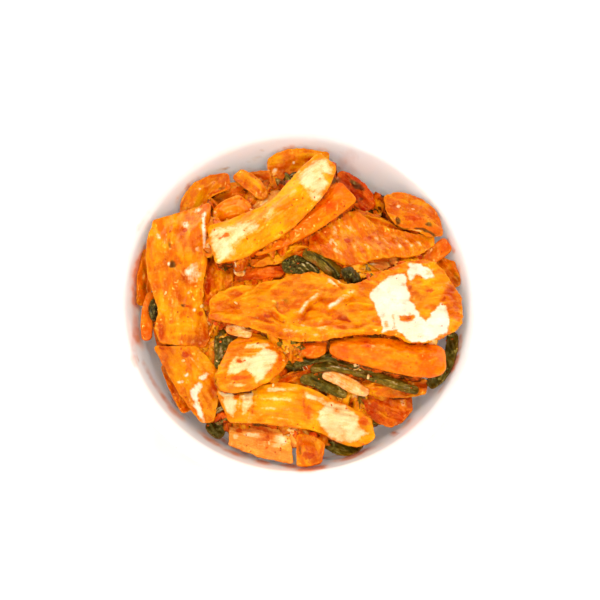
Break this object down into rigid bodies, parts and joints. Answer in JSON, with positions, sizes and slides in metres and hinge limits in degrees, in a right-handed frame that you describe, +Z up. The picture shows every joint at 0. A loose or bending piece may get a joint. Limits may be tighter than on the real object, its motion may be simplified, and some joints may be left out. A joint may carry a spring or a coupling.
{
  "type": "bowl of kimchi",
  "caption": "Cut cabbage kimchi with carrot, scallion, onion and chili, heaped in a round white bowl.",
  "frame": {"origin": "centre of the bowl's foot, on the surface it stands on", "axes": "+Z up out of the bowl; +Y away from the diner, +X to the diner's right"},
  "size_m": [0.13, 0.13, 0.0657],
  "materials": {
    "bowl_glaze": "gloss",
    "cabbage_stem": "gloss",
    "cabbage_leaf": "gloss",
    "carrot": "gloss",
    "onion": "gloss",
    "greens": "gloss",
    "chili": "gloss"
  },
  "bodies": {
    "root": {"bowl": "bowl_glaze", "kimchi_bed": "chili", "leaf_by_left_wall": "cabbage_leaf", "carrot_strip_left": "carrot", "green_tuft_left": "greens", "leaf_under_corner": "cabbage_leaf", "green_tuft_front": "greens", "green_curl_front": "greens", "stem_thumb_front": "cabbage_stem", "stem_front": "cabbage_stem", "green_arc_by_wall": "greens", "leaf_by_right_wall": "cabbage_leaf", "carrot_baton_right": "carrot", "leaf_red": "cabbage_leaf", "leaf_amber_front": "cabbage_leaf", "leaf_brown_front": "cabbage_leaf", "leaf_dark_front": "greens", "onion_front": "onion", "chive_long": "greens", "chive_short": "greens", "carrot_chip": "carrot", "carrot_slab": "carrot", "leaf_dark_back": "greens", "pepper_skin": "chili", "leaf_back": "cabbage_leaf", "leaf_shadow_back": "cabbage_leaf", "green_fold_back": "greens", "leaf_curl_left": "cabbage_leaf", "leaf_brown_back": "cabbage_leaf", "onion_back": "onion", "leaf_triangle_back": "cabbage_leaf", "carrot_block": "carrot", "leaf_wedge_left": "cabbage_leaf", "carrot_bit_left": "carrot", "pepper_strip": "chili", "leaf_fold_middle": "cabbage_leaf", "green_leaf_middle": "greens", "scallion_middle": "greens", "green_dome_middle": "greens", "onion_middle": "onion", "leaf_strip_back": "cabbage_leaf", "leaf_under_fan": "cabbage_leaf", "leaf_fan_back": "cabbage_leaf", "carrot_plank": "carrot", "leaf_curl_right": "cabbage_leaf", "stem_long": "cabbage_stem", "leaf_left": "cabbage_leaf", "leaf_corner": "cabbage_leaf", "scallion_leaf_left": "greens", "stem_front_long": "cabbage_stem", "stem_diamond": "cabbage_stem", "onion_left": "onion", "leaf_large": "cabbage_stem"}
  },
  "joints": []
}
